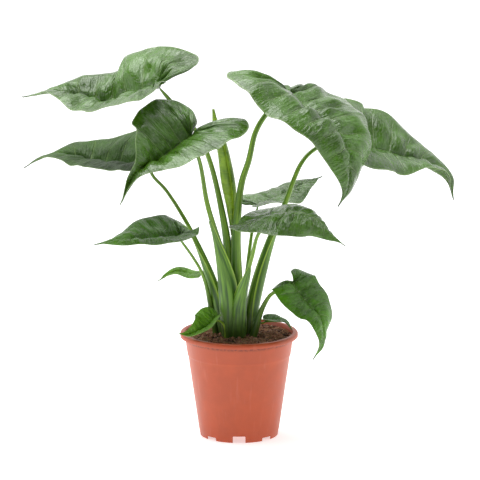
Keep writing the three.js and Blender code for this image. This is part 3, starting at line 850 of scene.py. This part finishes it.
def make_sheath(leaf):
    """The open sheath at the foot of a stalk: a thin wing on either side."""
    line = Line(stalk_line(leaf))
    piece, across, along = net("sheath_" + leaf["name"], *SHEATH_NET)
    u = SHEATH_START + (1 - SHEATH_START) * along
    tangent = line.tangent(u)
    out = unit(line.at(u) * np.array([1, 1, 0]) - np.array([0, SHEATH_LEAN, 0]))
    out = unit(out - tangent * np.sum(out * tangent, axis=1)[:, None])
    beside = np.cross(tangent, out)
    reach = np.sin(math.pi * np.clip(along * 0.9 + 0.05, 0, 1)) ** 0.6
    angle = across * math.radians(SHEATH_TURN) * reach
    free = np.clip((np.abs(across) - SHEATH_FREE) / 0.3, 0, 1)
    girth = stalk_radius(leaf["radius"], leaf["sheath"], u) + SHEATH_GAP
    girth = girth + SHEATH_FLARE * free**1.5 * reach
    ways = out * np.cos(angle)[:, None] + beside * np.sin(angle)[:, None]
    move_to(piece, from_axis(line.at(u) + ways * girth[:, None]))
    modify(piece, "SOLIDIFY", thickness=SHEATH_THICKNESS * MM, offset=0)
    move_to(piece, places(piece))
    with editing(piece):
        face_outward()
    smooth(piece, 50)
    return piece


def sheath_skin():
    """Green like the stalk, with a pale, papery margin on either side."""
    material, shader = new_material("sheath_green")
    where = shader.coordinates()
    dark, light = srgb(0.21, 0.36, 0.09), srgb(0.42, 0.60, 0.14)
    fibre = shader.group("fibres", {"UV": where["UV"], "Dark": dark, "Light": light})
    side = shader.from_middle(shader.parts(where["UV"])[0])
    tone = shader.mix(shader.fade(side, 0.86, 0.97), fibre["Color"], srgb(0.62, 0.76, 0.24))
    # Painted shade: the sheath darkens towards the peat.
    up = shader.parts(where["Object"])[2]
    tone = shader.mix(shader.fade(up, 0.21, 0.15, 0.0, 0.7), tone, srgb(0.15, 0.26, 0.07))
    close_material(shader, tone, 0.4, 0.5, (fibre["Height"], 0.0004, 0.4))
    return material


def stalk_line(leaf):
    """The stalk's own line, started just under the blade it carries."""
    along = Line(leaf["midrib"]).tangent(np.array([0.0]))[0]
    left = unit(np.cross(leaf["face"], along))
    under = np.cross(along, left) * (BLADE_RIB * 0.5 + leaf["radius"][0] * 0.6)
    return [tuple(np.array(leaf["midrib"][0]) - under), *leaf["stalk"]]


class TaroPot(bpy.types.PropertyGroup):
    colour: bpy.props.FloatVectorProperty(
        name="Plastic", description="Colour of the pot's plastic", subtype="COLOR", size=3,
        min=0, max=1, default=srgb(0.75, 0.32, 0.165),
    )
    sides: bpy.props.IntProperty(
        name="Sides", description="Flat faces round the pot", default=144, min=48, max=256
    )


class TaroLeaves(bpy.types.PropertyGroup):
    colour: bpy.props.FloatVectorProperty(
        name="Leaf green", description="Darker green of the leaves' upper side", subtype="COLOR",
        size=3, min=0, max=1, default=srgb(0.20, 0.34, 0.02),
    )
    quilt: bpy.props.FloatProperty(
        name="Quilting", description="Height of the bulges between veins, as a share of the width",
        default=0.045, min=0, max=0.1, subtype="FACTOR",
    )
    roughness: bpy.props.FloatProperty(
        name="Roughness", description="Roughness of the upper side",
        default=0.15, min=0, max=1, subtype="FACTOR",
    )


class TaroStage(bpy.types.PropertyGroup):
    top_light: bpy.props.FloatProperty(
        name="Top light", description="Power of the soft light above the plant",
        default=48.0, min=0, unit="POWER",
    )
    side_light: bpy.props.FloatProperty(
        name="Side lights", description="Power of the two lights beside the plant",
        default=9.0, min=0, unit="POWER",
    )
    backdrop: bpy.props.FloatProperty(
        name="Backdrop", description="Brightness of the surroundings behind the plant",
        default=1.1, min=0,
    )
    front: bpy.props.FloatProperty(
        name="Front", description="Brightness of the room in front of the plant",
        default=0.3, min=0,
    )


class TARO_OT_stage(bpy.types.Operator):
    """Adds the camera, the soft lights and the white floor"""

    bl_idname = "taro.stage"
    bl_label = "Stage"

    def execute(self, context):
        stage = context.scene.taro_stage
        tilt = math.radians(CAMERA_TILT)
        way = Vector((0, -math.cos(tilt), math.sin(tilt)))
        place = Vector(VIEW_MIDDLE) + way * CAMERA_DISTANCE
        deselect()
        bpy.ops.object.camera_add(location=place, rotation=(math.pi / 2 - tilt, 0, 0))
        camera = named("camera")
        camera.data.angle = 2 * math.atan(HALF_VIEW / CAMERA_DISTANCE)
        context.scene.camera = camera
        lights = (
            ("light_top", (-0.5, 0.3, 2.2), 2.0, stage.top_light),
            ("light_left", (-2.2, -0.6, 0.9), 1.6, stage.side_light),
            ("light_right", (2.2, -0.4, 0.9), 1.6, stage.side_light),
        )
        for name, place, size, power in lights:
            bpy.ops.object.light_add(type="AREA", location=place)
            light = named(name)
            light.data.shape = "DISK"
            light.data.size = size
            light.data.energy = power
            aim = Vector(LIGHTS_AIM) - Vector(place)
            light.rotation_euler = aim.to_track_quat("-Z", "Y").to_euler()
        bpy.ops.mesh.primitive_plane_add(size=16)
        floor = named("floor")
        material, shader = new_material("floor_white")
        place = shader.coordinates()["Object"]
        tone = shader.mix(shader.noise(place, 3.0), (0.93, 0.93, 0.93), (0.96, 0.96, 0.96))
        close_material(shader, tone, 0.9, 0.1, Emission_Color=WHITE, Emission_Strength=0.55)
        dress(floor, material)
        context.scene.world = self.surroundings(stage)
        context.scene.view_settings.view_transform = "Standard"
        return {"FINISHED"}

    def surroundings(self, stage):
        """A white room, brighter behind the plant, that looks plain white itself."""
        world = bpy.data.worlds.new("surroundings")
        world.use_nodes = True
        world.node_tree.nodes.clear()
        shader = Shader(world.node_tree)
        parts = shader.parts(shader.coordinates()["Generated"])
        glow = shader.fade(parts[1], -0.3, 0.6, stage.front, stage.backdrop)
        glow = shader.times(glow, shader.fade(parts[2], 0.4, 0.9, 1.0, 0.85))
        seen = shader.add("ShaderNodeLightPath").outputs["Is Camera Ray"]
        strength = shader.math("MAXIMUM", glow, shader.times(seen, 1.1))
        light = shader.add("ShaderNodeBackground", {"Color": WHITE, "Strength": strength})
        shader.add("ShaderNodeOutputWorld", {"Surface": light.outputs[0]})
        return world


def wall_radius(z):
    """The pot's outer radius at a height, in mm."""
    return POT_FOOT_RADIUS + POT_TAPER * z + (POT_SHOULDER_STEP if z > POT_SHOULDER_HEIGHT else 0)


def pot_profile():
    """Radius and height of each ring, from the floor's middle down, out and over
    the rim to the floor again."""
    top, step, rim = POT_HEIGHT, POT_SHOULDER_HEIGHT, POT_RIM_RADIUS
    under, lip = top - POT_LIP_DROP, rim - POT_LIP_WALL
    floor, floor_top = POT_FLOOR_HEIGHT, POT_FLOOR_HEIGHT + POT_FLOOR_THICKNESS
    wall, inner = wall_radius, lambda z: wall_radius(z) - POT_WALL
    return [
        (1.0, floor), (DRAIN_CIRCLE, floor), (inner(floor), floor),
        (inner(0) + 0.2, 0.4), (inner(0) + 0.5, 0.0), (wall(0) - 0.6, 0.0), (wall(0), 0.7),
        *((wall(z), z) for z in (12, 40, 70, 100, 114)),
        (wall(step) - 0.05, step - 0.4), (wall(step) + 0.1, step), (wall(step + 1), step + 1.2),
        *((wall(z), z) for z in (121, 134, 144, 147.6)),
        (wall(148) + 0.5, 149.0), (lip - 2.2, 149.4), (lip - 0.6, 148.9), (lip, 147.6),
        (lip + 0.2, under + 0.3), (lip + 0.6, under), (rim - 0.6, under),
        (rim - 0.1, under + 0.5), (rim, under + 2.4), (rim - 0.25, top - 2.2),
        (rim - 1.1, top - 0.9), (rim - 2.3, top - 0.25), (rim - 3.6, top),
        (inner(top) + 1.6, top), (inner(top) + 0.5, top - 0.3), (inner(top), top - 1.2),
        *((inner(z), z) for z in (140, step + 1.2, step - 0.4, 60, floor_top)),
        (1.0, floor_top),
    ]


class TARO_OT_pot(bpy.types.Operator):
    """Models the nursery pot ring by ring and cuts its notches and drain holes"""

    bl_idname = "taro.pot"
    bl_label = "Pot"

    def execute(self, context):
        settings = context.scene.taro_pot
        profile = pot_profile()
        (radius, z) = profile[0]
        deselect()
        bpy.ops.mesh.primitive_circle_add(
            vertices=settings.sides, radius=radius * MM, fill_type="NGON",
            location=(AXIS_X, AXIS_Y, z * MM),
        )
        pot = named("nursery_pot")
        settle(pot)
        with editing(pot, "EDGE"):
            for (r0, z0), (r1, z1) in zip(profile, profile[1:]):
                extrude_up((z1 - z0) * MM)
                widen(r1 / r0, z1 * MM)
            face_outward()
        for k in range(NOTCHES):
            turn = 2 * math.pi * k / NOTCHES - math.pi / 2
            height = NOTCH_LOW if k % 2 else NOTCH_HIGH
            self.cut(pot, "cube", turn, POT_FOOT_RADIUS, 0, NOTCH_WIDTH, height)
            self.cut(
                pot, "cylinder", turn, DRAIN_CIRCLE, POT_FLOOR_HEIGHT, DRAIN_RADIUS, DRAIN_CUT
            )
        smooth(pot, 32)
        hand_over(pot, "pot", [self.plastic(settings)], "pot")
        return {"FINISHED"}

    def cut(self, pot, kind, turn, reach, z, size, height):
        """Takes one notch or one hole out of the pot."""
        x, y = reach * MM * math.cos(turn), reach * MM * math.sin(turn)
        place = (AXIS_X + x, AXIS_Y + y, z * MM)
        deselect()
        if kind == "cube":
            bpy.ops.mesh.primitive_cube_add(size=1, location=place, rotation=(0, 0, turn))
            cutter = named("cutter")
            cutter.scale = (NOTCH_CUT * MM, size * MM, 2 * height * MM)
        else:
            bpy.ops.mesh.primitive_cylinder_add(
                vertices=DRAIN_SIDES, radius=size * MM, depth=height * MM, location=place
            )
            cutter = named("cutter")
        settle(cutter)
        if kind == "cube":
            modify(cutter, "BEVEL", width=NOTCH_ROUNDING * MM, segments=3)
        modify(pot, "BOOLEAN", operation="DIFFERENCE", solver="EXACT", object=cutter)
        bpy.data.objects.remove(cutter)

    def plastic(self, settings):
        material, shader = new_material("pot_plastic")
        where = shader.coordinates()["Object"]
        colour = tuple(settings.colour)
        dark = tuple(c * 0.86 for c in colour)
        mottled = shader.mottled(where, dark, colour, 9.0, 60.0)
        # Faint upright flow streaks left by the moulding, and fine dust.
        flow = shader.noise(shader.stretched(where, (150.0, 150.0, 4.0)), 1.0, 2)
        streaks = shader.fade(flow, 0.55, 0.8, 0.0, 0.14)
        tone = shader.mix(streaks, mottled["Color"], srgb(0.86, 0.55, 0.45))
        dust = shader.noise(where, 1400.0, 2)
        tone = shader.mix(shader.fade(dust, 0.66, 0.8, 0.0, 0.2), tone, srgb(0.5, 0.3, 0.22))
        # Painted shadow in the corner under the rim, broken up in patches.
        up = shader.parts(where)[2]
        corner = shader.times(shader.fade(up, 0.1385, 0.1435), shader.fade(up, 0.1452, 0.1447))
        patches = shader.fade(shader.noise(where, 260.0, 3), 0.40, 0.62, 0.25, 0.85)
        corner = shader.times(corner, patches)
        tone = shader.mix(corner, tone, srgb(0.34, 0.17, 0.12))
        rough = shader.plus(0.36, shader.times(mottled["Mask"], 0.1))
        height = shader.plus(shader.times(dust, 0.3), flow)
        close_material(shader, tone, rough, 0.5, (height, 0.0002, 0.15))
        return material


class TARO_OT_peat(bpy.types.Operator):
    """Fills the pot with lumpy peat and scatters crumbs and fibres over it"""

    bl_idname = "taro.peat"
    bl_label = "Peat"

    def execute(self, context):
        radius = wall_radius(SOIL_HEIGHT) - POT_WALL - SOIL_GAP
        piece, x, y = net("peat", *PEAT_NET)
        y = y * 2 - 1
        disc_x, disc_y = x * np.sqrt(1 - y * y / 2), y * np.sqrt(1 - x * x / 2)
        co = np.stack([disc_x * radius, disc_y * radius, np.zeros_like(x)], -1)
        rise = np.array([self.height(p) for p in co])
        edge = np.hypot(disc_x, disc_y)
        co[:, 2] = SOIL_HEIGHT + rise * (1 - SOIL_SETTLED * edge**4)
        move_to(piece, from_axis(co))
        with editing(piece, "EDGE"):
            bpy.ops.mesh.select_all(action="DESELECT")
            bpy.ops.mesh.select_non_manifold()
            extrude_up(-SOIL_DEPTH * MM)
            widen(SOIL_TAPER, 0.12)
            bpy.ops.mesh.edge_face_add()
            face_outward()
        pick(piece)
        bpy.ops.object.shade_smooth()
        earth = self.earth()
        hand_over(piece, "soil", [earth], "soil")
        hand_over(self.crumbs(radius), "soil", [earth])
        fibres = self.fibres(radius)
        material, shader = new_material("peat_fibre")
        where = shader.coordinates()["Object"]
        dark, light = srgb(0.30, 0.20, 0.13), srgb(0.70, 0.58, 0.42)
        tone = shader.mix(shader.noise(where, 60.0), dark, light)
        grain = shader.noise(where, 900.0)
        close_material(shader, tone, 0.85, 0.5, (grain, 0.0004, 0.5))
        hand_over(fibres, "soil", [material])
        return {"FINISHED"}

    def scatter(self, radius, chance):
        """A place on the peat, evenly spread over its disc, in mm."""
        reach, angle = radius * math.sqrt(chance.random()), chance.uniform(0, 2 * math.pi)
        x, y = reach * math.cos(angle), reach * math.sin(angle)
        rise = self.height((x, y)) * (1 - SOIL_SETTLED * (reach / radius) ** 4)
        return x, y, SOIL_HEIGHT + rise

    def crumbs(self, radius):
        """Crumbs of peat: one lump copied over the surface, turned and scaled."""
        chance = random.Random(SEED)
        deselect()
        bpy.ops.mesh.primitive_uv_sphere_add(segments=7, ring_count=5, radius=1)
        lump = named("peat_crumbs")
        shape = places(lump)
        dents = np.array([noise.noise(Vector(p) * 1.7) for p in shape])
        shape = shape * (1 + 0.45 * dents)[:, None]
        parts = []
        for _ in range(CRUMBS):
            x, y, z = self.scatter(radius - 4, chance)
            size = chance.uniform(0.5, 1.5) ** 2 + 0.5
            turn = Euler([chance.uniform(0, 6.28) for _ in range(3)]).to_matrix()
            placed = shape @ np.array(turn).T * size * np.array([1, 1, 0.75])
            parts.append(placed + np.array([x, y, z + 0.3 * size]))
        return self.repeated(lump, parts)

    def fibres(self, radius):
        """Fibres and bits of bark that lie on the peat, one tapered strip copied."""
        chance = random.Random(SEED + 1)
        deselect()
        bpy.ops.mesh.primitive_cylinder_add(vertices=5, radius=1, depth=2)
        strip = named("peat_fibres")
        with editing(strip, "EDGE"):
            bpy.ops.mesh.subdivide(number_cuts=2)
        shape = places(strip)
        shape[:, :2] *= (1 - 0.6 * np.abs(shape[:, 2]))[:, None]
        parts = []
        for _ in range(FIBRES):
            x, y, z = self.scatter(radius - 12, chance)
            long, thick = chance.uniform(2.5, 9), chance.uniform(0.25, 0.6)
            bow = chance.uniform(-2, 2)
            dip, heading = chance.uniform(-0.25, 0.25), chance.uniform(0, 6.28)
            turn = Euler((math.pi / 2 + dip, 0, heading)).to_matrix()
            bent = shape * np.array([thick, thick, long])
            bent[:, 0] += bow * (1 - shape[:, 2] ** 2)
            parts.append(bent @ np.array(turn).T + np.array([x, y, z + 0.7]))
        return self.repeated(strip, parts)

    def repeated(self, piece, parts):
        """One piece that holds a copy of its mesh at each set of places."""
        copies = []
        for _ in parts[1:]:
            copy = piece.copy()
            copy.data = piece.data.copy()
            bpy.context.collection.objects.link(copy)
            copies.append(copy)
        for one, co in zip([piece, *copies], parts):
            move_to(one, from_axis(co))
        pick(piece, *copies)
        bpy.context.view_layer.objects.active = piece
        bpy.ops.object.join()
        bpy.ops.object.shade_smooth()
        return piece

    def height(self, p):
        """Lumps of four sizes, the smallest of them all raised, in mm."""
        at = Vector((p[0], p[1], 0))
        large, middle, small, grit = (high * noise.noise(at / size) for high, size in SOIL_LUMPS)
        return large + middle + (small + abs(grit))

    def earth(self):
        material, shader = new_material("peat_earth")
        where = shader.coordinates()["Object"]
        broad = shader.noise(where, 70.0, 5, 0.7)
        fine = shader.noise(where, 420.0, 5, 0.75)
        dark, light = srgb(0.22, 0.13, 0.11), srgb(0.69, 0.49, 0.40)
        tone = shader.mix(shader.fade(broad, 0.34, 0.56), dark, light)
        # Painted highlights: the palest flecks on the fine grains.
        tone = shader.mix(shader.fade(fine, 0.52, 0.72), tone, srgb(0.86, 0.71, 0.60))
        tone = shader.mix(shader.fade(fine, 0.46, 0.34), tone, srgb(0.15, 0.10, 0.085))
        speck = shader.noise(where, 700.0, 2)
        tone = shader.mix(shader.fade(speck, 0.63, 0.68), tone, srgb(0.84, 0.76, 0.69))
        close_material(shader, tone, 0.95, 0.2, (shader.plus(broad, fine), 0.002, 1.0))
        return material


class TARO_OT_stalks(bpy.types.Operator):
    """Grows the stalks from the peat to their blades"""

    bl_idname = "taro.stalks"
    bl_label = "Stalks"

    def execute(self, context):
        dark, light = srgb(0.27, 0.43, 0.08), srgb(0.52, 0.67, 0.20)
        green = stalk_skin("stalk_green", dark, light, 0.36, 0.75)
        dark, light = srgb(0.44, 0.60, 0.12), srgb(0.68, 0.82, 0.24)
        pale = stalk_skin("stalk_pale", dark, light, 0.4, 0.15)
        papery = sheath_skin()
        for leaf in LEAVES:
            name, radius = leaf["name"], leaf["radius"]
            stalk = make_tube("petiole_" + name, stalk_line(leaf), radius, leaf["sheath"])
            skin = pale if radius[0] < THIN_STALK else green
            hand_over(stalk, "stalk", [skin], "stalk_" + name)
            if leaf["sheath"] >= SHEATHED:
                hand_over(make_sheath(leaf), "stalk", [papery])
        stalk = make_tube("petiole_rolled", ROLLED_STALK, ROLLED_STALK_RADIUS, 0)
        hand_over(stalk, "stalk", [pale], "stalk_rolled")
        return {"FINISHED"}


class TARO_OT_blades(bpy.types.Operator):
    """Models the heart-shaped blades from their midribs, outlines and folds"""

    bl_idname = "taro.blades"
    bl_label = "Blades"

    def execute(self, context):
        settings = context.scene.taro_leaves
        colour = tuple(settings.colour)
        light = tuple(c * 1.9 for c in colour)
        uppers, rib = {}, srgb(0.56, 0.66, 0.42)
        tints = {"plain": PLAIN, "fresh": FRESH, "deep": DEEP, "young_green": YOUNG}
        for name, tint in tints.items():
            dark, pale = scaled(colour, tint), scaled(light, tint)
            rough, gloss = FINISHES.get(tint, (settings.roughness, 0.55))
            uppers[tint] = upper_side("leaf_" + name, dark, pale, rib, rough, 0.8, gloss)
        dark, pale, rib = srgb(0.36, 0.48, 0.25), srgb(0.46, 0.57, 0.33), srgb(0.62, 0.70, 0.45)
        under = lower_side("leaf_under", dark, pale, rib)
        for leaf in LEAVES:
            upper = uppers[GREENS.get(leaf["name"], PLAIN)]
            blade = make_blade(leaf, settings.quilt)
            hand_over(blade, "leaf", [upper, under], "leaf_" + leaf["name"])
        return {"FINISHED"}


class TARO_OT_rolled_leaf(bpy.types.Operator):
    """Models the youngest leaf, still rolled up"""

    bl_idname = "taro.rolled_leaf"
    bl_label = "Rolled leaf"

    def execute(self, context):
        line = Line(ROLLED_AXIS)
        piece, across, u = net("blade_rolled", *ROLLED_NET)
        inward = (across + 1) / 2
        turn = np.radians(ROLLED_START + inward * ROLLED_TURN)
        steps = np.array(ROLLED_GIRTH, float)[:, None]
        girth = spline(steps, u)[:, 0] * (1 - ROLLED_NARROWING * inward**1.2)
        ways = np.stack([np.cos(turn), np.sin(turn), np.zeros_like(turn)], -1)
        move_to(piece, from_axis(line.at(u) + ways * girth[:, None]))
        modify(piece, "SOLIDIFY", thickness=BLADE_EDGE * MM, offset=-1)
        move_to(piece, places(piece))
        smooth(piece, 60)
        dark, light, rib = srgb(0.33, 0.48, 0.06), srgb(0.57, 0.72, 0.14), srgb(0.74, 0.86, 0.20)
        young = upper_side("leaf_young", dark, light, rib, 0.3, 0.5)
        hand_over(piece, "young_leaf", [young], "leaf_rolled")
        return {"FINISHED"}


class TARO_PT_panel(bpy.types.Panel):
    """Lists the pieces of the plant and their settings"""

    bl_idname = "TARO_PT_panel"
    bl_label = "Potted Chinese Taro"
    bl_space_type = "VIEW_3D"
    bl_region_type = "UI"
    bl_category = "Taro"

    def draw(self, context):
        layout = self.layout
        for operator in OPERATORS:
            layout.operator(operator.bl_idname)
        for name in GROUPS:
            box, group = layout.box(), getattr(context.scene, name)
            for key in group.__annotations__:
                box.prop(group, key)


GROUPS = {"taro_pot": TaroPot, "taro_leaves": TaroLeaves, "taro_stage": TaroStage}
OPERATORS = (
    TARO_OT_stage, TARO_OT_pot, TARO_OT_peat, TARO_OT_stalks, TARO_OT_blades, TARO_OT_rolled_leaf,
)


def register():
    for cls in (*GROUPS.values(), *OPERATORS, TARO_PT_panel):
        bpy.utils.register_class(cls)
    for name, group in GROUPS.items():
        setattr(bpy.types.Scene, name, bpy.props.PointerProperty(type=group))


def unregister():
    for name in GROUPS:
        delattr(bpy.types.Scene, name)
    for cls in (TARO_PT_panel, *reversed(OPERATORS), *GROUPS.values()):
        bpy.utils.unregister_class(cls)


def main():
    register()
    make_groups()
    bpy.ops.taro.stage()
    bpy.ops.taro.pot()
    bpy.ops.taro.peat()
    bpy.ops.taro.stalks()
    bpy.ops.taro.blades()
    bpy.ops.taro.rolled_leaf()


if __name__ == "__main__":
    main()
